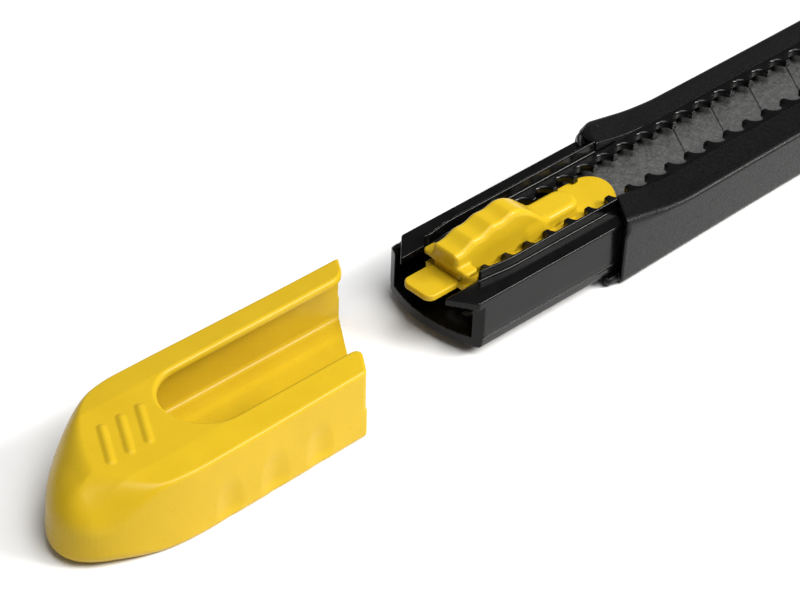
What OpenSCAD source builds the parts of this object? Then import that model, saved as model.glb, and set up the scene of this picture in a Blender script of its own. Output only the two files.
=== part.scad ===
// 9 mm snap-off utility knife: black body with a toothed slot, pull-off yellow end cap, sliding blade.
// The knife lies along X with the blade's tip towards +X, the open side of its slot faces up, and it
// rests on Z = 0. X is measured from the rear end of the body's tang and moved at the end, so that the
// origin is under the middle of the whole object with its cap pulled off.

/* [Blade] */
// Width of the snap-off blade
blade_w = 9; // [9:0.1:9.2]
// Thickness of the blade
blade_t = 0.4; // [0.3:0.05:0.5]
// Length of one snap-off segment
segment = 5; // [4.8:0.1:5.2]
// Number of score lines across the blade
score_count = 13; // [8:1:13]
// Length of the plain tail behind the last score line
blade_tail = 15; // [14:0.5:16]
// Angle of the score lines and of the blade's ends from square
score_angle = 30; // [25:1:32]

/* [Body] */
// Width of the body's bare tang
tang_w = 11.3; // [11.2:0.1:11.4]
// Height of the tang's shoulders above its underside
tang_h = 5.1; // [5:0.1:5.2]
// Thickness of the channel's floor and walls
wall = 1; // [0.8:0.1:1]
// Length from the tang's rear end to the tip of the nose
body_l = 117.1; // [112:0.1:125]
// Width of the slot between the tooth tips
slot_w = 3.7; // [3.6:0.05:3.8]
// Pitch of the scalloped teeth along the slot
tooth_pitch = 2.5; // [2.4:0.1:2.6]
// Radius of each scallop between two teeth
scallop_r = 0.9; // [0.7:0.05:1]
// Width over the two raised rails beside the slot
rails_w = 7.44; // [7.3:0.02:7.5]
// Height of the rails above the shoulders
rail_h = 0.98; // [0.8:0.01:1.05]

/* [Grip] */
// Width of the grip at its collar
collar_w = 13.1; // [12.8:0.1:13.3]
// Width of the grip at its waist
waist_w = 11.8; // [11.6:0.1:12.2]
// Height of the collar's rear edge
collar_h = 7.1; // [6.9:0.1:7.3]
// Length of the ramp from the collar down to the grip
ramp_l = 7; // [5:0.5:9]
// Angle of the collar's rear edge from square
collar_angle = 32.6; // [30:0.1:34]

/* [End cap] */
// Angle of the cap's mouth from square
mouth_angle = 34; // [32:0.1:35]
// Angle of the edge where the cap's top rolls over its nose
nose_angle = 41; // [38:0.5:44]
// Width of the cap at its mouth
cap_mouth_w = 13.4; // [13.2:0.1:13.6]
// Width of the cap at its widest place
cap_w = 14.3; // [14:0.1:14.5]
// Height of the cap at the crown beside its slot
cap_h = 6.9; // [6.8:0.1:7.1]
// Width of the thumb slot in the cap
cap_slot_w = 7.66; // [7.5:0.01:7.8]
// Distance that the cap is pulled off
cap_travel = 27.9; // [26:0.1:27.9]

/* [Slider] */
// Width of the thumb block and its neck
thumb_w = 2.9; // [2.6:0.1:3.2]
// Height of the thumb block's highest ridge above the rest plane
thumb_h = 9.2; // [8.6:0.1:9.6]
// Width of the rear tab
tab_w = 3.44; // [3.2:0.02:3.5]
// Width of the carrier plate under the ledges
plate_w = 4.8; // [4.4:0.1:5.2]

/* [Hidden] */
$fn = 64;

// heights, from the rest plane up
base_z = 1;                          // underside of the tang
floor_z = base_z + wall;             // top of the channel's floor
shoulder_z = base_z + tang_h;        // shoulders and toothed ledges
ledge_z = 5.4;                       // underside of the ledges
rail_z = shoulder_z + rail_h;
blade_top = 4.65;
plate_top = 5.3;
tab_top = 5.42;
bed_top = blade_top - blade_t - 0.1;

// half widths
tang_y = tang_w / 2;
channel_y = blade_w / 2 + 0.15;
core_y = 5.35;                       // outside of the body's walls inside the grip
rib_y = 3.9;                         // half width of the ledge block inside the grip
rail_y = rails_w / 2;
rail_in = 3.38;
gap_y = 3.2;                         // half width of the opening behind the teeth
window_y = 3.25;

// places along X
collar_s = 20.05;                    // slanted rear edge of the collar, where it crosses Y = 0
core_s = 22.5;                       // where the tang's section gives way to the slimmer core
lip_s = 18.55;                       // rear end of the rounded lip inside the collar
mouth_s = -9.65;                     // slanted edge of the cap's mouth, where it crosses Y = 0
cap_tip_s = -42.3;                   // rear of the cap, where it crosses Y = 0
nose_edge_s = -38.5;                 // where the flat top of the cap starts to roll over the nose
nose_roll = 4.7;                     // how far the nose reaches past that edge
nose_low_z = 2.2;                    // height of the nose's furthest point
slot_end = 99;
body_front = 104;
grip_front = 100;
rear_bulge = 1.35;                   // how far the tang's rear edge bows out
teeth = floor((slot_end - 4) / tooth_pitch);
rim_bevel = 0.2;
plate_front = 18.1;                  // centre of the carrier plate's round front
peg_x = 18.5;                        // peg that the blade's tail hooks over
blade_rear = peg_x - 3.45;
blade_l = blade_tail + score_count * segment;
cap_min_x = cap_tip_s - 0.55;         // furthest point of the skewed nose
frame_x = (cap_min_x + body_l) / 2;

// extrudes a (Y, Z) section from x0 to x1
module section(x0, x1) {
    translate([x0, 0, 0]) rotate([90, 0, 90]) linear_extrude(x1 - x0) children();
}
// extrudes an (X, Z) profile across the knife, y0 to y1
module profile(y0, y1) {
    translate([0, y1, 0]) rotate([90, 0, 0]) linear_extrude(y1 - y0) children();
}
// a block between two slanted planes that cross Y = 0 at s0 and s1
module slant_block(s0, s1) {
    half = 9;
    run = half * tan(collar_angle);
    linear_extrude(9) polygon([[s0 - run, -half], [s1 - run, -half], [s1 + run, half], [s0 + run, half]]);
}
// an (S, Z) profile extruded across the knife at an angle from square
module slant_profile(angle, points) {
    rotate([0, 0, -angle]) rotate([90, 0, 0]) linear_extrude(160, center = true)
        polygon([for (p = points) [p[0] * cos(angle), p[1]]]);
}
// moves a finished part into the object's own frame
module placed() {
    translate([-frame_x, 0, 0]) children();
}
module both_sides() {
    children();
    mirror([0, 1, 0]) children();
}

module tang_section() {
    polygon([[-tang_y, base_z + 1.2], [-tang_y + 0.2, base_z], [tang_y - 0.2, base_z], [tang_y, base_z + 1.2],
             [tang_y, shoulder_z - 0.15], [tang_y - 0.15, shoulder_z], [-tang_y + 0.15, shoulder_z],
             [-tang_y, shoulder_z - 0.15]]);
}
module core_section() {
    polygon([[-core_y, base_z], [core_y, base_z], [core_y, ledge_z + 0.3], [rib_y, ledge_z + 0.3],
             [rib_y, shoulder_z], [-rib_y, shoulder_z], [-rib_y, ledge_z + 0.3], [-core_y, ledge_z + 0.3]]);
}
// plan of the tang's bowed rear end, open to the front
module rear_plan() {
    bow_r = (pow(tang_y, 2) + pow(rear_bulge, 2)) / (2 * rear_bulge);
    translate([bow_r - rear_bulge, 0]) circle(bow_r, $fn = 200);
    translate([bow_r - rear_bulge, -20]) square([200, 40]);
}
// plan of the shoulders above it, whose ends reach further back beside the slot
module shoulder_plan() {
    polygon([[-0.2, -tang_y], [-2.3, -gap_y], [-1.2, gap_y], [0.3, tang_y], [200, tang_y], [200, -tang_y]]);
}
// plan of the slot between the ledges: wide behind the teeth, scalloped along them, round at the front
module slot_plan() {
    translate([-9, -gap_y]) square([9 + 1.9, 2 * gap_y]);
    translate([-9, -slot_w / 2]) square([slot_end + 9 - slot_w / 2, slot_w]);
    translate([slot_end - slot_w / 2, 0]) circle(slot_w / 2);
    for (i = [0 : teeth - 1], side = [-1, 1])
        translate([scallop_x(i), side * slot_w / 2]) circle(scallop_r, $fn = 24);
}
function scallop_x(i) = 2.15 + tooth_pitch * i;

module body_channel() placed() color([0.06, 0.06, 0.065]) {
    difference() {
        intersection() {
            union() {
                intersection() {
                    union() {
                        section(-3, 40) tang_section();
                        both_sides() section(1.9, 40)
                            translate([rail_in, shoulder_z - 0.1]) square([rail_y - rail_in, rail_h + 0.1]);
                    }
                    slant_block(-40, collar_s);
                }
                intersection() {
                    section(-3, 40) tang_section();
                    slant_block(collar_s - 1, core_s);
                }
                intersection() {
                    section(0, body_front) core_section();
                    slant_block(core_s - 0.5, body_front + 20);
                }
            }
            union() {
                linear_extrude(ledge_z) rear_plan();
                translate([0, 0, ledge_z]) linear_extrude(4) shoulder_plan();
            }
        }
        section(-9, body_l) translate([-channel_y, floor_z])
            square([2 * channel_y, ledge_z - floor_z]);
        translate([0, 0, ledge_z - 0.1]) linear_extrude(6) slot_plan();
        // bevelled rims of the scallops
        for (i = [0 : teeth - 1], side = [-1, 1])
            translate([scallop_x(i), side * slot_w / 2, shoulder_z - rim_bevel])
                cylinder(r1 = scallop_r, r2 = scallop_r + rim_bevel + 0.02, h = rim_bevel + 0.02, $fn = 24);
        // pocket in the floor for the nose guide's tongue
        translate([body_front - 4, -3.1, base_z + 0.2]) cube([9, 6.2, 0.6]);
    }
    // the blade lies on two low bed ribs
    both_sides() translate([1, 3.4, floor_z]) cube([body_front - 1, 1, bed_top - floor_z]);
}

// plan of the grip: widest at the collar, drawn in to a waist and fuller again at the front
module grip_plan() {
    steps = 24;
    function half_w(x) = x < 50
        ? waist_w / 2 + (collar_w - waist_w) / 2 * pow((50 - x) / 34, 1.6)
        : waist_w / 2 + 0.35 * pow(sin(180 * (x - 50) / (grip_front + 16 - 50)), 2);
    side = [for (i = [0 : steps]) let (x = 11 + (grip_front - 11) * i / steps) [x, half_w(max(x, 16))]];
    polygon(concat(side, [for (i = [steps : -1 : 0]) [side[i][0], -side[i][1]]]));
}
module grip_section() {
    edge_z = shoulder_z - 0.5;
    polygon([[-7, 2.6], [-5.95, 0.4], [-5.3, 0], [5.3, 0], [5.95, 0.4], [7, 2.6], [7, edge_z - 0.1], [6.4, edge_z],
             [rib_y, shoulder_z], [-rib_y, shoulder_z], [-6.4, edge_z], [-7, edge_z - 0.1]]);
}
module collar_section() {
    polygon([[-7, 2.6], [-5.95, 0.4], [-5.3, 0], [5.3, 0], [5.95, 0.4], [7, 2.6], [7, collar_h], [-7, collar_h]]);
}
module lip_section() {
    polygon([[-6.2, 1.2], [-5.2, 0.3], [5.2, 0.3], [6.2, 1.2], [6.2, 5.2], [5.5, 5.9], [-5.5, 5.9], [-6.2, 5.2]]);
}
module grip_sleeve() placed() color([0.11, 0.11, 0.115]) difference() {
    intersection() {
        union() {
            intersection() {
                section(10, grip_front) grip_section();
                slant_block(collar_s, grip_front + 20);
            }
            intersection() {
                section(10, 40) collar_section();
                slant_profile(collar_angle, [[collar_s, 0], [collar_s, collar_h],
                                             [collar_s + ramp_l, shoulder_z - 0.55], [collar_s + ramp_l, 0]]);
            }
            // lip that the cap's mouth closes against
            intersection() {
                section(10, 40) lip_section();
                slant_block(lip_s, collar_s + 1);
            }
        }
        translate([0, 0, -1]) linear_extrude(12) grip_plan();
        slant_block(lip_s, grip_front + 20);
    }
    intersection() {
        section(-3, 45) tang_section();
        slant_block(0, core_s);
    }
    intersection() {
        section(0, body_front) core_section();
        slant_block(core_s - 0.01, body_front + 20);
    }
    section(0, body_front) translate([-window_y, shoulder_z - 0.1]) square([2 * window_y, 4]);
}

// front tip: a blade slot between a base and two side cheeks, cut at the blade's own angle
module nose_guide() placed() color([0.62, 0.63, 0.65]) {
    tip_run = 5.2 * tan(score_angle);
    difference() {
        intersection() {
            section(body_front, body_l)
                polygon([[-5.35, 1.9], [-4.9, 1.3], [4.9, 1.3], [5.35, 1.9], [5.35, 5.1], [4.9, 5.5],
                         [-4.9, 5.5], [-5.35, 5.1]]);
            translate([0, 0, -1]) linear_extrude(12)
                polygon([[body_front, -5.35], [body_l - 2 * tip_run, -5.15], [body_l, 5.15], [body_front, 5.35]]);
            profile(-9, 9) polygon([[body_front, 1.3], [body_l - 6, 1.3], [body_l, 2.6], [body_l, 5.1],
                                    [body_l - 8, 5.5], [body_front, 5.5]]);
        }
        section(body_front - 1, body_l + 1) translate([-channel_y, blade_top - blade_t - 0.1])
            square([2 * channel_y, blade_t + 0.2]);
        section(body_front - 1, body_l + 1) translate([-3, blade_top]) square([6, 4]);
    }
    translate([body_front - 3.8, -3, base_z + 0.3]) cube([3.9, 6, 0.4]);
}

// plan of the cap: sides drawn in towards the mouth, a skewed round nose behind
module cap_plan() {
    steps = 12;
    nose_y = cap_w / 2;
    lean = 0.575;
    function side_y(x) = cap_mouth_w / 2
        + (cap_w - cap_mouth_w) / 2 * sin(90 * min(1, max(0, (mouth_s - x) / 20)));
    nose = [for (i = [-steps : steps])
        let (a = 90 * i / steps, p = cos(a), nose_l = i < 0 ? 11 : 12.6,
             y = nose_y * sign(a) * pow(abs(sin(a)), i < 0 ? 1.08 : 0.94))
        [cap_tip_s + nose_l * (1 - p) + lean * y * p, y]];
    side = [for (i = [0 : steps]) let (x = -28 + i * 26 / steps) [x, side_y(x)]];
    polygon(concat(nose, side, [for (i = [steps : -1 : 0]) [side[i][0], -side[i][1]]]));
}
module cap_section() {
    edge_z = cap_h - 0.3;
    polygon([[-8, 1], [-6.2, 0], [6.2, 0], [8, 1], [8, edge_z - 0.9], [6.6, edge_z], [4.15, cap_h],
             [-4.15, cap_h], [-6.6, edge_z], [-8, edge_z - 0.9]]);
}
// side view of the nose: a flat top that rolls over a quarter ellipse down to the tip
function nose_curve() = concat([[20, -1], [20, cap_h + 1], [nose_edge_s, cap_h + 1]],
    [for (i = [0 : 16]) let (a = 90 - 108 * i / 16)
        [nose_edge_s - nose_roll * cos(a), nose_low_z + (cap_h - nose_low_z) * sin(a)]],
    [[nose_edge_s - nose_roll + 1.2, -1]]);
module cap_slot_plan() {
    translate([-25.8, 0]) circle(cap_slot_w / 2);
    translate([-25.8, -cap_slot_w / 2]) square([30, cap_slot_w]);
}
module end_cap() placed() color([0.95, 0.72, 0.05]) {
    inside = tang_y + 0.2;
    ceiling = shoulder_z + 0.15;
    floor_in = 0.55;
    difference() {
        intersection() {
            section(-50, 0) cap_section();
            translate([0, 0, -1]) linear_extrude(12) cap_plan();
            slant_profile(mouth_angle, [[mouth_s, -1], [mouth_s, 9], [-90, 9], [-90, -1]]);
            slant_profile(nose_angle, nose_curve());
        }
        section(-31, 9) polygon([[-inside, floor_in + 0.5], [-inside + 0.5, floor_in], [inside - 0.5, floor_in],
                                 [inside, floor_in + 0.5], [inside, ceiling], [-inside, ceiling]]);
        translate([0, 0, 3]) linear_extrude(9) cap_slot_plan();
        // shallow finger scallops on both sides, deeper towards the bottom
        for (i = [0 : 2]) both_sides()
            translate([-29.2 + 4.9 * i, -cap_w / 2 - 3.16 + 0.1 * i, 0]) rotate([3, 0, 0])
                translate([0, 0, -1]) cylinder(r = 3.4, h = 6.2, $fn = 96);
    }
    // slanted ribs on the nose for pulling the cap off
    for (i = [0 : 2])
        translate([-36 + 1.95 * i, 0, cap_h - 0.6]) rotate([0, 0, -score_angle])
            translate([-0.4, -2.5, 0]) cube([0.8, 5, 0.85]);
}

// side view of the thumb block and the low neck in front of it
module thumb_profile() {
    dip = 0.16;
    function ridge_z(x) = x < 7.4 ? thumb_h - 1.3 * pow((7.4 - x) / 6.8, 1.5) - dip * pow(sin(180 * (x - 0.6) / 2.27), 2)
        : x < 11.4 ? thumb_h - 2.6 * (1 - cos(90 * (x - 7.4) / 4)) : 6.6;
    top = [for (i = [0 : 36]) let (x = 0.6 + i * 10.8 / 36) [x, ridge_z(x)]];
    polygon(concat([[1.2, plate_top], [0.9, plate_top + 0.5]], top,
                   [for (i = [1 : 8]) let (a = 90 - 90 * i / 8) [14.7 + 1.3 * cos(a), plate_top + 1.3 * sin(a)]]));
}
module slider_button() placed() color([0.97, 0.75, 0.07]) {
    profile(-thumb_w / 2, thumb_w / 2) thumb_profile();
    // ears that ride just above the ledges beside the thumb block
    both_sides() translate([0.7, thumb_w / 2 - 0.3, shoulder_z + 0.06]) cube([1.5, 1.5, 0.5]);
    // pins down into the carrier
    for (x = [4, 10]) translate([x, 0, plate_top - 0.45]) cylinder(r = 0.7, h = 0.6);
}
module slider_carrier() placed() color([0.94, 0.7, 0.05]) {
    difference() {
        union() {
            translate([0.9, -plate_w / 2, blade_top])
                cube([plate_front - 0.9, plate_w, plate_top - blade_top]);
            translate([plate_front, 0, blade_top]) cylinder(r = plate_w / 2, h = plate_top - blade_top);
            translate([plate_front + 1.1, 0.7, blade_top]) cylinder(r = 1.5, h = plate_top - blade_top);
            translate([peg_x, 0, blade_top - 0.9]) cylinder(r = 1.15, h = 1);
        }
        for (x = [4, 10]) translate([x, 0, plate_top - 0.45]) cylinder(r = 0.7, h = 1);
    }
    translate([0, 0, tab_top - 0.6]) linear_extrude(0.6) {
        translate([-1.8, -tab_w / 2]) square([2.7, tab_w]);
        translate([-2.6, -tab_w / 2 + 0.8]) square([1, tab_w - 1.6]);
        for (side = [-1, 1]) translate([-1.8, side * (tab_w / 2 - 0.8)]) circle(0.8, $fn = 32);
    }
}
// bowed steel leaf under the carrier, which presses it up against the ledges
module friction_spring() placed() color([0.75, 0.76, 0.78]) {
    span = 10;
    sag = blade_top - floor_z - 0.3;
    leaf_t = 0.2;
    bow = (pow(span / 2, 2) + pow(sag, 2)) / (2 * sag);
    profile(-1.2, 1.2) intersection() {
        translate([7.5, blade_top - sag + bow - leaf_t / 2]) difference() {
            circle(bow, $fn = 160);
            circle(bow - leaf_t, $fn = 160);
        }
        translate([2, floor_z]) square([11, blade_top - floor_z]);
    }
}
module blade() placed() color([0.66, 0.68, 0.69]) {
    lean = tan(score_angle);
    half = blade_w / 2;
    difference() {
        intersection() {
            section(blade_rear - 4, blade_rear + blade_l + 4)
                polygon([[-half, blade_top - blade_t], [half - 1.1, blade_top - blade_t],
                         [half, blade_top - blade_t / 2 - 0.03], [half, blade_top - blade_t / 2 + 0.03],
                         [half - 1.1, blade_top], [-half, blade_top]]);
            translate([0, 0, 2]) linear_extrude(4)
                polygon([[blade_rear - lean * half, -half - 1], [blade_rear + blade_l - lean * half, -half - 1],
                         [blade_rear + blade_l + lean * half, half + 1], [blade_rear + lean * half, half + 1]]);
        }
        translate([peg_x, 0, 2]) cylinder(r = 1.25, h = 4);
        for (i = [0 : score_count - 1])
            translate([blade_rear + blade_tail + segment * i, 0, blade_top]) rotate([0, 0, -score_angle])
                rotate([0, 45, 0]) cube([0.16, 3 * blade_w, 0.16], center = true);
    }
}

body_channel();
grip_sleeve();
nose_guide();
end_cap();
slider_button();
slider_carrier();
friction_spring();
blade();
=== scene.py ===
"""A slim snap-off utility knife with its yellow end cap pulled off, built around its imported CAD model.

Every moulded piece is the zero surface of a signed distance field, so that its edges and inner corners carry
the real radii of moulded plastic. Lengths in the fields are millimetres. X is measured from the rear end of
the body's tang, and Z from the plane that the knife rests on.
"""
import math

import bpy
import numpy as np
from mathutils import Matrix, Vector

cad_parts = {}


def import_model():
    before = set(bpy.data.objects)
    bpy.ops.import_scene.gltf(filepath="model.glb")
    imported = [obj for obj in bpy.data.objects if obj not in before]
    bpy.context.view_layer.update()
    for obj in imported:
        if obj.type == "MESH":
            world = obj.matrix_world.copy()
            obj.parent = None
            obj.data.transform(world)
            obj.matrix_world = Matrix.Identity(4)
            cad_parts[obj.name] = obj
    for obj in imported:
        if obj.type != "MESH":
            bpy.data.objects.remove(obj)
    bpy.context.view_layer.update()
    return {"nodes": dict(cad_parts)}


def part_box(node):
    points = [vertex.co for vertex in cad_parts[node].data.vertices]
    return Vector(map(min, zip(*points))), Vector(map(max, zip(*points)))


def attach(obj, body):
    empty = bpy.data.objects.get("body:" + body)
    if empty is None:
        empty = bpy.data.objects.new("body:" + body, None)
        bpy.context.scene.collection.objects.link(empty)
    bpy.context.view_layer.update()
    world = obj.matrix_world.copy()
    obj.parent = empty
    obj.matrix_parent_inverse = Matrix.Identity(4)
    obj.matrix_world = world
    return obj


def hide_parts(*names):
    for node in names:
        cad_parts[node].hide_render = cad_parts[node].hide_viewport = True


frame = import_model()

MM = 0.001
BODY_LENGTH = 117.1                                     # from the tang's rear end to the tip of the nose
TANG_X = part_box("nose_guide")[1].x / MM - BODY_LENGTH   # the tang's rear end in the row frame

# the body
TANG_Y = 5.65
BASE_Z = 1.0
FLOOR_Z = 2.0
LEDGE_Z = 5.4
SHOULDER_Z = 6.1
RAIL_Z = 7.08
RAIL_IN, RAIL_OUT = 3.38, 3.72
GAP_Y = 3.2                                             # half the opening's width behind the teeth
CHANNEL_Y = 4.65
CORE_Y, CORE_Z = 5.3, 5.42                              # the body inside the grip
WINDOW_Y = 3.25
TIP_Y = 1.85                                            # half the slot's width between the tooth tips
PITCH = 2.5
SCALLOP_R = 0.9
SCALLOP_X = 2.15
TEETH = 38
RIM_R = 0.12                                            # rounding of the slot's rim
BEVEL = 0.17                                            # bevel round the rim of each scallop
SLOT_END = 99.0
BODY_FRONT = 104.0
GRIP_FRONT = 100.0
REAR_BOW = 1.35                                         # how far the floor's rear end bows out
# slanted planes cross Y = 0 at these places
COLLAR_S, COLLAR_RUN = 20.05, math.tan(math.radians(32.6))
LIP_S = 18.55
CORE_S = 22.5
MOUTH_S, MOUTH_RUN = -9.65, math.tan(math.radians(34.0))
# the collar
COLLAR_Z = 7.1
CORNER_REACH = 1.4                                      # how far its far corner reaches back
RAMP_LENGTH = 7.0
# the end cap
CAP_TOP = 6.9
CAP_Y = 7.14                                            # half the cap's width at its widest
CAP_DRAW = 0.4                                          # how far each side is drawn in at the mouth
CAP_TIP_X = -42.3
CROWN_Y = 4.15                                          # half the width of the flat top
CAP_SLOT_Y = 3.83
CAP_SLOT_END = -25.8
CAVITY_Y = 5.82
CAVITY_FLOOR, CAVITY_TOP = 0.55, 6.25
CAVITY_END = -31.2
FINGER_X, FINGER_Y = -29.2, 9.84                        # axis of the rear finger scallop in each side
FINGER_PITCH, FINGER_R = 4.9, 3.0
RIB_X, RIB_PITCH = -36.0, 1.95
RIB_R, RIB_HALF = 0.4, 2.1
SCORE_ANGLE = math.radians(30)                          # of the blade, followed by the ribs and the nose
# the slider
THUMB_TOP = 9.2
THUMB_CREST, THUMB_FRONT = 7.4, 11.2                    # where the block's top starts to fall, and its front
THUMB_Y = 1.47
THUMB_WAVE = 2.27                                       # pitch of the block's shallow scallops
NECK_X, NECK_Y, NECK_TOP = 14.6, 1.42, 6.58
EAR_Y = 2.62
PLATE_Y = 2.4
PLATE_X = 18.1                                          # centre of the plate's round front
PLATE_TOP = 5.3
TAB_X, TAB_Y = 0.7, 1.72
PEG_X, PEG_R = 18.5, 1.15
BLADE_TOP = 4.65
# the nose guide
GUIDE_Y, GUIDE_TOP = 5.3, 5.5
GUIDE_BASE = 1.3
GUIDE_SLOT_Y = 3.0
GUIDE_TIP_Y = 5.2                                       # half the width over which the tip is slanted


# ---------------------------------------------------------------- signed distance fields
def both(a, b, r):
    """Intersection of two solids, with their shared edge rounded to radius r."""
    return np.minimum(-r, np.maximum(a, b)) + np.hypot(np.maximum(a + r, 0), np.maximum(b + r, 0))


def join(a, b, r):
    """Union of two solids, with a fillet of radius r where they meet."""
    return np.maximum(r, np.minimum(a, b)) - np.hypot(np.maximum(r - a, 0), np.maximum(r - b, 0))


def cut(a, b, r):
    """Solid a less solid b, with the rim rounded to radius r."""
    return both(a, -b, r)


def slab(t, low, high):
    return np.abs(t - (low + high) / 2) - (high - low) / 2


def rounded_box(u, v, half_u, half_v, r):
    """A rectangle with round corners, centred on u = v = 0."""
    du = np.abs(u) - half_u + r
    dv = np.abs(v) - half_v + r
    return np.hypot(np.maximum(du, 0), np.maximum(dv, 0)) + np.minimum(np.maximum(du, dv), 0) - r


def ease(t):
    t = np.clip(t, 0, 1)
    return t * t * (3 - 2 * t)


def outline_field(points, pitch=0.06, margin=4.0):
    """Signed distance to a closed outline in a plane, from a fine table of it."""
    p = np.asarray(points, float)
    low, high = p.min(0) - margin, p.max(0) + margin
    nu, nv = (np.ceil((high - low) / pitch).astype(int) + 1)
    u, v = np.meshgrid(low[0] + pitch * np.arange(nu), low[1] + pitch * np.arange(nv), indexing="ij")
    nearest = np.full(u.shape, np.inf)
    inside = np.zeros(u.shape, bool)
    for a, b in zip(p, np.roll(p, -1, 0)):
        e = b - a
        t = np.clip(((u - a[0]) * e[0] + (v - a[1]) * e[1]) / (e @ e), 0, 1)
        nearest = np.minimum(nearest, np.hypot(u - a[0] - t * e[0], v - a[1] - t * e[1]))
        if a[1] != b[1]:
            inside ^= ((a[1] > v) != (b[1] > v)) & (u < a[0] + (v - a[1]) * e[0] / e[1])
    table = np.where(inside, -nearest, nearest)

    def field(x, y):
        s = np.clip((x - low[0]) / pitch, 0, nu - 1.001)
        t = np.clip((y - low[1]) / pitch, 0, nv - 1.001)
        i, j = s.astype(int), t.astype(int)
        s, t = s - i, t - j
        return ((table[i, j] * (1 - s) + table[i + 1, j] * s) * (1 - t)
                + (table[i, j + 1] * (1 - s) + table[i + 1, j + 1] * s) * t)
    return field


def gradient(field, p, h=0.015):
    g = np.empty_like(p)
    for axis in range(3):
        step = np.zeros(3)
        step[axis] = h
        g[:, axis] = (field(*(p + step).T) - field(*(p - step).T)) / (2 * h)
    return g


def settle(field, p, limit, rounds=3):
    """Moves points onto the zero surface along the gradient."""
    for _ in range(rounds):
        g = gradient(field, p)
        d = field(*p.T)
        move = -(d / np.maximum((g * g).sum(1), 0.05))[:, None] * g
        length = np.linalg.norm(move, axis=1)
        p = p + move * np.minimum(1, limit / np.maximum(length, 1e-9))[:, None]
    return p


CORNERS = np.array([(i, j, k) for i in (0, 1) for j in (0, 1) for k in (0, 1)])
EDGES = [(a, b) for a in range(8) for b in range(a + 1, 8) if np.abs(CORNERS[a] - CORNERS[b]).sum() == 1]
BLOCK = 8


def sample(field, low, high, pitch):
    """The field on a grid, worked out only in the blocks that the surface may cross."""
    blocks = np.ceil((high - low) / (BLOCK * pitch)).astype(int) + 1
    index = np.stack(np.meshgrid(*[np.arange(n) for n in blocks], indexing="ij"), -1).reshape(-1, 3)
    centre = low + (index + 0.5) * BLOCK * pitch
    d = field(*centre.T)
    values = d.reshape(blocks).astype(np.float32)
    for axis in range(3):
        values = np.repeat(values, BLOCK, axis)
    near = index[np.abs(d) < 1.15 * BLOCK * pitch]
    inner = np.stack(np.meshgrid(*[np.arange(BLOCK)] * 3, indexing="ij"), -1).reshape(-1, 3)
    for part in np.array_split(near, max(1, len(near) // 1500)):
        cells = (part[:, None] * BLOCK + inner).reshape(-1, 3)
        values[tuple(cells.T)] = field(*(low + cells * pitch).T)
    return values


def surface(field, low, high, pitch):
    """Vertices and quads of the field's zero surface, by surface nets."""
    values = sample(field, low, high, pitch)
    inside = values < 0
    shape = np.array(values.shape) - 1
    count = sum(inside[c[0]:c[0] + shape[0], c[1]:c[1] + shape[1], c[2]:c[2] + shape[2]].astype(np.int8)
                for c in CORNERS)
    cells = np.argwhere((count > 0) & (count < 8))
    total = np.zeros((len(cells), 3))
    hits = np.zeros(len(cells))
    for a, b in EDGES:
        va = values[tuple((cells + CORNERS[a]).T)]
        vb = values[tuple((cells + CORNERS[b]).T)]
        crossed = (va < 0) != (vb < 0)
        t = np.where(crossed, va / np.where(crossed, va - vb, 1), 0)
        total += (CORNERS[a] + t[:, None] * (CORNERS[b] - CORNERS[a])) * crossed[:, None]
        hits += crossed
    points = low + (cells + total / hits[:, None]) * pitch
    number = np.full(shape, -1, np.int32)
    number[tuple(cells.T)] = np.arange(len(cells))
    quads = []
    for axis in range(3):
        ahead = np.zeros(3, int)
        ahead[axis] = 1
        lead = inside[tuple(slice(0, n - s) for n, s in zip(inside.shape, ahead))]
        trail = inside[tuple(slice(s, n) for n, s in zip(inside.shape, ahead))]
        for first, flip in ((True, False), (False, True)):
            at = np.argwhere((lead == first) & (trail != first))
            at = at[(at > 0).all(1) & (at < shape).all(1)]
            u, v = np.zeros(3, int), np.zeros(3, int)
            u[(axis + 1) % 3] = 1
            v[(axis + 2) % 3] = 1
            ring = np.stack([number[tuple((at - o).T)] for o in (u + v, v, 0 * u, u)], 1)
            quads.append(ring[:, ::-1] if flip else ring)
    return points, np.concatenate(quads)


def moulded(name, field, low, high, pitch, keep, body, nodes, material):
    """A piece made from a field: meshed, thinned where it is flat, and shaded with the field's normals."""
    low, high = np.array(low, float), np.array(high, float)
    points, quads = surface(field, low, high, pitch)
    points = settle(field, points, pitch * 0.6)
    mesh = bpy.data.meshes.new(name)
    mesh.from_pydata(points.tolist(), [], quads.tolist())
    piece = bpy.data.objects.new(name, mesh)
    bpy.context.scene.collection.objects.link(piece)
    thin = piece.modifiers.new("thin", "DECIMATE")
    thin.ratio = keep
    thinned = bpy.data.meshes.new_from_object(piece.evaluated_get(bpy.context.evaluated_depsgraph_get()))
    piece.modifiers.clear()
    piece.data = thinned
    bpy.data.meshes.remove(mesh)
    thinned.name = name
    co = np.empty(len(thinned.vertices) * 3)
    thinned.vertices.foreach_get("co", co)
    points = settle(field, co.reshape(-1, 3), pitch * 0.5)
    normals = gradient(field, points, 0.03)
    normals /= np.maximum(np.linalg.norm(normals, axis=1), 1e-9)[:, None]
    points[:, 0] += TANG_X
    thinned.vertices.foreach_set("co", (points * MM).ravel())
    thinned.update()
    thinned.shade_smooth()
    thinned.normals_split_custom_set_from_vertices(normals.tolist())
    thinned.materials.append(material)
    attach(piece, body)
    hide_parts(*nodes)
    return piece


# ---------------------------------------------------------------- the shapes
def slanted(x, y, s, run):
    """Distance ahead of a slanted plane that crosses Y = 0 at s."""
    return (x - s - run * y) / math.hypot(1, run)


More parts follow.
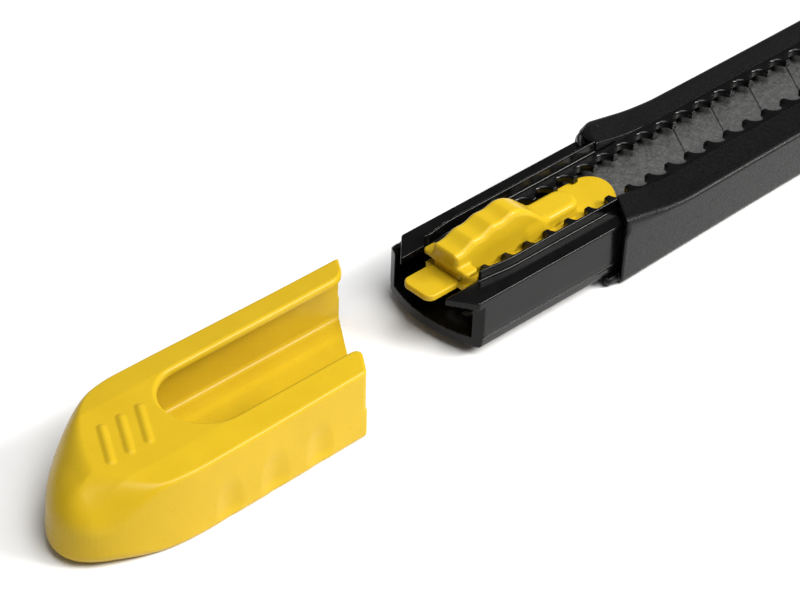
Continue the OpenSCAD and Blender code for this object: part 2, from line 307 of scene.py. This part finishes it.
def body_field(x, y, z):
    w = np.abs(y)
    # tang, and the slimmer core inside the grip
    side = both(w - TANG_Y, w - TANG_Y + 0.16 * (2.2 - z), 0.1)
    tang = both(both(side, z - SHOULDER_Z, 0.16), BASE_Z - z, 0.3)
    seam = np.hypot(w - TANG_Y + 0.03, z - 2.2) - 0.09
    tang = join(tang, seam, 0.04)
    tang = np.maximum(tang, slanted(x, y, CORE_S, COLLAR_RUN))
    core = np.maximum(np.maximum(w - CORE_Y, BASE_Z - z), z - CORE_Z)
    ledges = np.maximum(np.maximum(w - 3.9, BASE_Z - z), z - SHOULDER_Z + 0.17 * np.maximum(w - WINDOW_Y, 0))
    ledges = ledges + 0.5 * np.clip(w - 3.3, 0, 0.3)
    solid = np.minimum(tang, np.maximum(np.minimum(core, ledges), CORE_S - 0.5 + COLLAR_RUN * y - x))
    # rails, which bend in at their rear ends
    bend = 0.36 * ease((5.6 - x) / 4.4)
    inner = RAIL_IN - bend + 0.1 * (z - SHOULDER_Z) - w
    rail = both(np.maximum(inner, w - RAIL_OUT + bend), z - RAIL_Z, 0.13)
    rail = both(np.maximum(rail, SHOULDER_Z - 0.4 - z), 1.5 + 0.5 * (w - RAIL_IN) - x, 0.3)
    rail = np.maximum(rail, slanted(x, y, COLLAR_S + 0.1, COLLAR_RUN))
    solid = join(solid, rail, 0.18)
    # bowed rear end of the floor, and the shoulders' pointed ends
    bow_r = (TANG_Y ** 2 + REAR_BOW ** 2) / (2 * REAR_BOW)
    rear = np.hypot(np.minimum(x + REAR_BOW - bow_r, 0), y) - bow_r
    ends = -(x + 2.3 - 0.84 * (w - GAP_Y) - 0.16 * (y + GAP_Y)) * 0.76
    solid = both(solid, np.where(z < LEDGE_Z, rear, ends), 0.12)
    solid = np.maximum(solid, x - BODY_FRONT)
    # channel and slot
    channel = np.maximum(w - CHANNEL_Y, slab(z, FLOOR_Z, LEDGE_Z))
    i = np.clip(np.round((x - SCALLOP_X) / PITCH), 0, TEETH - 1)
    straight = np.where(x > SLOT_END - TIP_Y, np.hypot(x - SLOT_END + TIP_Y, w) - TIP_Y, w - TIP_Y)
    scallop = np.hypot(x - SCALLOP_X - PITCH * i, w - TIP_Y) - SCALLOP_R
    toothed = join(straight, scallop, 0.05)
    rear_gap = np.maximum(w - GAP_Y, x - 1.9)
    slot = np.maximum(np.minimum(toothed, rear_gap), LEDGE_Z - 0.2 - z)
    solid = cut(solid, slot, RIM_R)
    # bevelled rims of the scallops
    bevel = scallop - np.clip(z - SHOULDER_Z + BEVEL, 0, BEVEL + 0.02)
    return np.maximum(cut(solid, bevel * 0.75, 0.05), -channel)


def grip_half(x, z):
    """Half the grip's width: widest at the collar, drawn in to a waist, fuller at the front."""
    rear = np.clip((50 - x) / 34, 0, 1) ** 1.6
    front = np.sin(np.pi * np.clip((x - 50) / 66, 0, 1)) ** 2
    at_top = 6.22 + 0.36 * rear + 0.1 * front
    at_bottom = 5.68 + 0.72 * rear + 0.45 * front
    up = np.clip((z - 0.3) / 5.3, 0, 1)
    return at_bottom + (at_top - at_bottom) * up


def grip_field(x, y, z):
    w = np.abs(y)
    side = w - grip_half(x, z)
    roof = z - (SHOULDER_Z - 0.17 * np.maximum(w - WINDOW_Y, 0))
    s = x - COLLAR_RUN * y
    along = np.clip((s - COLLAR_S) / RAMP_LENGTH, 0, 1.2)
    # the collar's far corner reaches back, and its top is rounded there
    rear = -slanted(x, y, COLLAR_S - CORNER_REACH * ease((y - 3) / 3), COLLAR_RUN)
    corner = 1.0 * ease((COLLAR_S + 0.6 - s) / 2.0) * ease(y / 2)
    ramp = np.maximum((z - (COLLAR_Z - 1.5 * along)) * 0.97, rear)
    outer = both(join(roof, ramp, 0.5), side, 0.4 + 0.3 * (1 - along / 1.2) + corner)
    outer = both(outer, -z, 0.7)
    collar = both(outer, rear, 0.28 + 0.2 * ease((y - 1.0) / 5.0))
    # the lip is a round lobe low on the near side, and lies nearly flush with the collar on the far side
    inset = 0.85 - 0.4 * ease((1.4 - z) / 0.8) * ease(-y / 2) - 0.55 * ease(y / 4)
    lip_top = z - 6.0 - 1.06 * ease((y - 4.4) / 1.0)
    lip = both(both(side + inset, lip_top, 0.8 + 0.6 * ease(y / 4)), 0.05 - z, 0.5)
    lip_rear = LIP_S + 0.03 - (0.15 + 0.1 * np.clip(3.0 - z, 0, 2)) * ease(-y / 4)
    lip = both(lip, -slanted(x, y, lip_rear, COLLAR_RUN), 0.8 - 0.4 * ease(y / 4))
    lip = np.maximum(lip, slanted(x, y, COLLAR_S + 1.0, COLLAR_RUN))
    solid = join(collar, lip, 0.12)
    solid = both(solid, x - GRIP_FRONT, 0.8)
    # hollow for the body
    tang = np.maximum(np.maximum(w - TANG_Y - 0.02, z - SHOULDER_Z - 0.01), BASE_Z - 0.02 - z)
    tang = np.maximum(tang, slanted(x, y, CORE_S, COLLAR_RUN))
    core = np.maximum(np.maximum(w - CORE_Y, z - CORE_Z), BASE_Z - z)
    solid = np.maximum(solid, -np.minimum(tang, core))
    # the window's rim dips into the body's ledges, so that the two lie flush
    window = np.maximum(w - WINDOW_Y, 5.0 - z)
    return cut(solid, window, 0.16)


def cap_outline(steps=28):
    """Plan of the cap at its underside: sides drawn in towards the mouth, a skewed round nose behind."""
    points = []
    for i in range(-steps, steps + 1):
        a = math.pi / 2 * i / steps
        length, power = (11.0, 1.08) if i < 0 else (12.6, 0.94)
        y = CAP_Y * math.copysign(abs(math.sin(a)) ** power, a)
        p = math.cos(a)
        points.append((CAP_TIP_X + length * (1 - p) + 0.575 * y * p, y))
    sides = [(-28 + 3 * i, CAP_Y - CAP_DRAW * math.sin(math.pi / 2 * min(1, i / 8))) for i in range(1, 13)]
    return points + sides + [(x, -y) for x, y in reversed(sides)]


cap_plan = outline_field(cap_outline())


def cap_field(x, y, z):
    w = np.abs(y)
    plan = cap_plan(x, y) + 0.056 * z
    crown = np.maximum(w - CROWN_Y, 0)
    roof = z - (CAP_TOP - 0.12 * crown)
    # the top rolls over the nose in an ellipse, longer than it is high
    roll = ease((-33.5 - x + 0.2 * y) / 6.5)
    solid = both(plan * (1 - 0.25 * roll), roof, 0.3 + (2.9 - 0.12 * y) * roll)
    solid = both(solid, -z, 0.5 + 0.9 * ease((-30.0 - x + 0.6 * y) / 7.0))
    # finger scallops down both sides, which die out at both ends
    for i in range(3):
        fade = 0.25 * ease((1.3 - z) / 1.3) + 0.2 * ease((z - 2.6) / 1.8)
        groove = np.hypot(x - FINGER_X - FINGER_PITCH * i, w - FINGER_Y + 0.1 * i) - FINGER_R + fade
        solid = cut(solid, groove, 0.25)
    # low ribs on the nose
    for i in range(3):
        u, v = x - RIB_X - RIB_PITCH * i, y
        across = u * math.cos(SCORE_ANGLE) - v * math.sin(SCORE_ANGLE)
        along = u * math.sin(SCORE_ANGLE) + v * math.cos(SCORE_ANGLE)
        reach = np.maximum(np.abs(along) - RIB_HALF, 0)
        rib = np.sqrt(reach ** 2 + across ** 2 + (z - CAP_TOP + 0.24) ** 2) - RIB_R
        solid = join(solid, rib, 0.18)
    # slanted mouth, and the thumb slot that opens into it with a round corner each side
    mouth = slanted(x, y, MOUTH_S, MOUTH_RUN)
    solid = both(solid, mouth, 0.14)
    slot = np.where(x < CAP_SLOT_END, np.hypot(x - CAP_SLOT_END, y), w) - CAP_SLOT_Y
    solid = both(solid, np.minimum(both(mouth, -slot, 1.1), z - 3), 0.42)
    # cavity, with a shallow step along its floor
    step = 0.1 * ease((w - 3.4) / 0.9)
    inside = both(both(w - CAVITY_Y, CAVITY_FLOOR + step - z, 0.55), z - CAVITY_TOP, 0.2)
    inside = both(inside, CAVITY_END - x, 1.2)
    return np.maximum(solid, -inside)


def thumb_top(x):
    """Height of the thumb block's three shallow scallops, and of its round front."""
    rise = THUMB_TOP - 1.3 * (np.clip((THUMB_CREST - x) / 6.8, 0, 1.2)) ** 1.5
    dips = 0.2 * np.abs(np.sin(np.pi * np.clip(x - 0.6, 0, 6.8) / THUMB_WAVE)) ** 1.5
    front = THUMB_TOP - 2.6 * (1 - np.cos(math.pi / 2 * np.clip((x - THUMB_CREST) / 4.0, 0, 1)))
    return np.where(x < THUMB_CREST, rise - dips, front)


def button_field(x, y, z):
    w = np.abs(y)
    rear = 0.62 + 0.35 * ease((7.6 - z) / 2.2) - x
    block = both(both((z - thumb_top(x)) * 0.8, rear, 0.25), x - THUMB_FRONT, 0.3)
    block = both(block, w - THUMB_Y - 0.08 * (7.5 - z), 0.48)
    neck = both(np.hypot(np.maximum(x - NECK_X, 0), y) - NECK_Y, z - NECK_TOP, 0.55)
    neck = both(neck, 9.0 - x, 0.2)
    solid = join(block, neck, 0.9)
    ears = both(both(slab(x, 0.7, 2.2), w - EAR_Y, 0.4), slab(z, 6.14, 6.66), 0.2)
    solid = join(solid, ears, 0.3)
    return np.maximum(solid, 5.28 - z)


def carrier_field(x, y, z):
    w = np.abs(y)
    plan = np.where(x > PLATE_X, np.hypot(x - PLATE_X, y), w) - PLATE_Y
    plan = join(plan, np.hypot(x - PLATE_X - 1.1, y - 0.7) - 1.5, 0.6)
    plate = both(both(plan, slab(z, BLADE_TOP, PLATE_TOP), 0.12), 0.9 - x, 0.1)
    tab = both(rounded_box(x + TAB_X, y, 1.9, TAB_Y, 0.8), slab(z, 4.82, 5.42), 0.15)
    peg = np.maximum(np.hypot(x - PEG_X, y) - PEG_R, slab(z, 3.75, 4.9))
    return join(join(plate, tab, 0.15), peg, 0.02)


def guide_field(x, y, z):
    w = np.abs(y)
    tip_run = GUIDE_TIP_Y * math.tan(SCORE_ANGLE)
    shell = both(both(w - GUIDE_Y, z - GUIDE_TOP, 0.5), GUIDE_BASE - z, 0.6)
    shell = both(shell, BODY_FRONT - x, 0.05)
    shell = both(shell, (x - (BODY_LENGTH - tip_run) - y / GUIDE_TIP_Y * tip_run) * 0.87, 0.25)
    shell = both(shell, (GUIDE_BASE + (x - BODY_LENGTH + 6) * 0.22 - z) * 0.97, 0.3)
    slot = np.maximum(w - CHANNEL_Y, slab(z, BLADE_TOP - 0.5, BLADE_TOP + 0.1))
    top = np.maximum(w - GUIDE_SLOT_Y, BLADE_TOP - z)
    solid = cut(np.maximum(shell, -slot), top, 0.15)
    tongue = np.maximum(slab(z, GUIDE_BASE, GUIDE_BASE + 0.4), slab(x, BODY_FRONT - 3.8, BODY_FRONT + 0.5))
    tongue = np.maximum(w - GUIDE_SLOT_Y, tongue)
    return np.minimum(solid, tongue)


# ---------------------------------------------------------------- materials
def link(tree, out, to):
    tree.links.new(out, to)


def node(tree, kind, **values):
    n = tree.nodes.new(kind)
    for key, value in values.items():
        if hasattr(n, key):
            setattr(n, key, value)
        else:
            n.inputs[key.replace("_", " ")].default_value = value
    return n


def ramp(tree, source, stops):
    n = tree.nodes.new("ShaderNodeValToRGB")
    link(tree, source, n.inputs["Fac"])
    n.color_ramp.elements[0].position, n.color_ramp.elements[0].color = stops[0]
    n.color_ramp.elements[1].position, n.color_ramp.elements[1].color = stops[-1]
    for position, color in stops[1:-1]:
        n.color_ramp.elements.new(position).color = color
    return n.outputs["Color"]


def grey(v):
    return (v, v, v, 1)


def noise(tree, scale, detail=4.0, stretch=None):
    """Noise over the object's own coordinates, scale in features per millimetre."""
    place = node(tree, "ShaderNodeTexCoord")
    source = place.outputs["Object"]
    if stretch:
        mapping = node(tree, "ShaderNodeMapping")
        mapping.inputs["Scale"].default_value = stretch
        link(tree, source, mapping.inputs["Vector"])
        source = mapping.outputs["Vector"]
    n = node(tree, "ShaderNodeTexNoise", Scale=scale / MM, Detail=detail, Roughness=0.55)
    link(tree, source, n.inputs["Vector"])
    return n.outputs["Fac"]


def bump(tree, height, strength, distance, after=None):
    n = node(tree, "ShaderNodeBump")
    n.inputs["Strength"].default_value = strength
    n.inputs["Distance"].default_value = distance * MM
    link(tree, height, n.inputs["Height"])
    if after:
        link(tree, after, n.inputs["Normal"])
    return n.outputs["Normal"]


def principled(name, **values):
    material = bpy.data.materials.new(name)
    material.use_nodes = True
    tree = material.node_tree
    shader = tree.nodes["Principled BSDF"]
    for key, value in values.items():
        shader.inputs[key.replace("_", " ")].default_value = value
    return material, tree, shader


def yellow_plastic(name, pale, deep):
    """Satin moulded plastic with a faint flow pattern, soft waviness and fine unevenness."""
    material, tree, shader = principled(name, Subsurface_Weight=0.1, Subsurface_Scale=0.0006, IOR=1.5,
                                        Specular_IOR_Level=0.16)
    shader.inputs["Subsurface Radius"].default_value = (1.0, 0.6, 0.1)
    link(tree, ramp(tree, noise(tree, 0.25, 3), [(0.3, deep), (0.7, pale)]), shader.inputs["Base Color"])
    shine = ramp(tree, noise(tree, 2.2, 5), [(0.3, grey(0.26)), (0.75, grey(0.36))])
    link(tree, shine, shader.inputs["Roughness"])
    wavy = bump(tree, noise(tree, 0.5, 2), 0.05, 0.1)
    fine = bump(tree, noise(tree, 9.0, 3), 0.05, 0.02, wavy)
    link(tree, fine, shader.inputs["Normal"])
    return material


def black_plastic():
    """Semi-gloss black moulding, with drag lines along its length and dull patches."""
    material, tree, shader = principled("black_plastic", IOR=1.5, Specular_IOR_Level=0.18)
    tone = [(0.3, (0.001, 0.001, 0.0011, 1)), (0.75, (0.0035, 0.0035, 0.0037, 1))]
    link(tree, ramp(tree, noise(tree, 0.4, 4), tone), shader.inputs["Base Color"])
    link(tree, ramp(tree, noise(tree, 1.5, 6, (0.15, 1, 1)), [(0.3, grey(0.15)), (0.75, grey(0.25))]),
         shader.inputs["Roughness"])
    drag = bump(tree, noise(tree, 3.0, 4, (0.05, 1, 1)), 0.12, 0.02)
    link(tree, bump(tree, noise(tree, 8.0, 3), 0.08, 0.02, drag), shader.inputs["Normal"])
    return material


def grip_rubber():
    """Matte black grip with the fine pebbled grain that is etched into its mould."""
    material, tree, shader = principled("grip_rubber", IOR=1.5, Specular_IOR_Level=0.22)
    tone = [(0.3, (0.0008, 0.0008, 0.001, 1)), (0.75, (0.003, 0.003, 0.0034, 1))]
    link(tree, ramp(tree, noise(tree, 3.0, 5), tone), shader.inputs["Base Color"])
    grain = noise(tree, 5.5, 2)
    link(tree, ramp(tree, grain, [(0.35, grey(0.46)), (0.7, grey(0.26))]), shader.inputs["Roughness"])
    link(tree, bump(tree, grain, 0.6, 0.05), shader.inputs["Normal"])
    return material


def steel(name, dark, light, rough, along):
    """Ground steel: brush lines and a blotchy satin finish."""
    material, tree, shader = principled(name, Metallic=1.0)
    link(tree, ramp(tree, noise(tree, 1.6, 6), [(0.3, dark), (0.72, light)]), shader.inputs["Base Color"])
    link(tree, ramp(tree, noise(tree, 4.0, 4), [(0.3, grey(rough)), (0.7, grey(rough + 0.14))]),
         shader.inputs["Roughness"])
    lines = bump(tree, noise(tree, 7.0, 4, along), 0.25, 0.015)
    link(tree, bump(tree, noise(tree, 6.0, 3), 0.25, 0.02, lines), shader.inputs["Normal"])
    return material


cap_yellow = yellow_plastic("cap_yellow", (0.485, 0.323, 0.012, 1), (0.455, 0.300, 0.010, 1))
slider_yellow = yellow_plastic("slider_yellow", (0.505, 0.340, 0.012, 1), (0.475, 0.310, 0.010, 1))
body_black = black_plastic()
grip_black = grip_rubber()
blade_steel = steel("blade_steel", (0.215, 0.22, 0.218, 1), (0.305, 0.31, 0.30, 1), 0.42, (1, 0.04, 1))
guide_steel = steel("guide_steel", (0.33, 0.335, 0.34, 1), (0.44, 0.445, 0.45, 1), 0.26, (0.04, 1, 1))
spring_steel = steel("spring_steel", (0.60, 0.61, 0.62, 1), (0.72, 0.73, 0.74, 1), 0.2, (0.05, 1, 1))


# ---------------------------------------------------------------- the pieces
moulded("cap_shell", cap_field, (-43.6, -7.6, -0.4), (-4.2, 7.6, 7.6), 0.13, 0.3,
        "cap", ["end_cap"], cap_yellow)
moulded("body_moulding", body_field, (-3.2, -6.2, 0.6), (104.6, 6.2, 7.4), 0.13, 0.22,
        "knife", ["body_channel"], body_black)
moulded("soft_grip", grip_field, (13.0, -7.2, -0.4), (100.6, 7.2, 7.6), 0.16, 0.25,
        "knife", ["grip_sleeve"], grip_black)
moulded("front_guide", guide_field, (99.6, -5.8, 0.8), (117.8, 5.8, 6.0), 0.12, 0.3,
        "knife", ["nose_guide"], guide_steel)
moulded("thumb_button", button_field, (0.0, -3.1, 4.9), (17.0, 3.1, 9.7), 0.08, 0.4,
        "slider", ["slider_button"], slider_yellow)
moulded("slider_plate", carrier_field, (-3.1, -2.8, 3.5), (21.8, 2.8, 5.9), 0.09, 0.4,
        "slider", ["slider_carrier"], slider_yellow)
for name, material in (("blade", blade_steel), ("friction_spring", spring_steel)):
    frame["nodes"][name].data.materials.clear()
    frame["nodes"][name].data.materials.append(material)


# ---------------------------------------------------------------- floor, light and camera
def floor():
    mesh = bpy.data.meshes.new("floor")
    half = 3.0
    corners = [(-half, -half, 0), (half, -half, 0), (half, half, 0), (-half, half, 0)]
    mesh.from_pydata(corners, [], [(0, 1, 2, 3)])
    plane = bpy.data.objects.new("floor", mesh)
    bpy.context.scene.collection.objects.link(plane)
    material, tree, shader = principled("floor_white", Roughness=0.7)
    tone = ramp(tree, noise(tree, 0.02, 2), [(0.3, grey(0.80)), (0.7, grey(0.84))])
    link(tree, tone, shader.inputs["Base Color"])
    mesh.materials.append(material)


def softbox(name, direction, distance, width, height, power, color=(1, 1, 1)):
    """A rectangular area light that faces the gap between the cap and the tang."""
    data = bpy.data.lights.new(name, "AREA")
    data.shape = "RECTANGLE"
    data.size, data.size_y = width, height
    data.energy = power
    data.color = color
    light = bpy.data.objects.new(name, data)
    bpy.context.scene.collection.objects.link(light)
    target = Vector(((TANG_X - 5) * MM, 0, 0))
    way = Vector(direction).normalized()
    light.location = target + way * distance
    light.rotation_euler = way.to_track_quat("Z", "Y").to_euler()


def world(strength):
    w = bpy.data.worlds.new("studio")
    bpy.context.scene.world = w
    w.use_nodes = True
    w.node_tree.nodes["Background"].inputs["Color"].default_value = (1, 1, 1, 1)
    w.node_tree.nodes["Background"].inputs["Strength"].default_value = strength


def camera():
    """Long lens above the near rear corner, looking forwards along the knife."""
    azimuth, elevation, roll = math.radians(-44.8809), math.radians(37.6027), math.radians(-2.3315)
    distance, lens, sensor = 318.344, 170.858, 36.0
    aim_right, aim_down, aim_height = -3.089, 1.363, 4.0
    back = Vector((math.sin(azimuth) * math.cos(elevation), -math.cos(azimuth) * math.cos(elevation),
                   math.sin(elevation)))
    right = (-back).cross(Vector((0, 0, 1))).normalized()
    down = (-back).cross(right)
    turned_right = math.cos(roll) * right + math.sin(roll) * down
    turned_down = math.cos(roll) * down - math.sin(roll) * right
    target = Vector((TANG_X, 0, aim_height)) + aim_right * turned_right + aim_down * turned_down
    data = bpy.data.cameras.new("camera")
    data.lens, data.sensor_width = lens, sensor
    data.clip_start, data.clip_end = 0.01, 20
    eye = bpy.data.objects.new("camera", data)
    bpy.context.scene.collection.objects.link(eye)
    turn = Matrix((turned_right, -turned_down, back)).transposed()
    eye.matrix_world = Matrix.Translation((target + back * distance) * MM) @ turn.to_4x4()
    bpy.context.scene.camera = eye


floor()
world(0.16)
softbox("key", (0.56, -0.61, 0.62), 0.9, 0.46, 0.16, 9.4, (1.0, 0.98, 0.95))
softbox("top", (0.05, -0.4, 1.0), 1.0, 0.7, 0.7, 11.6)
camera()
bpy.context.scene.view_settings.view_transform = "Standard"

bpy.context.view_layer.update()
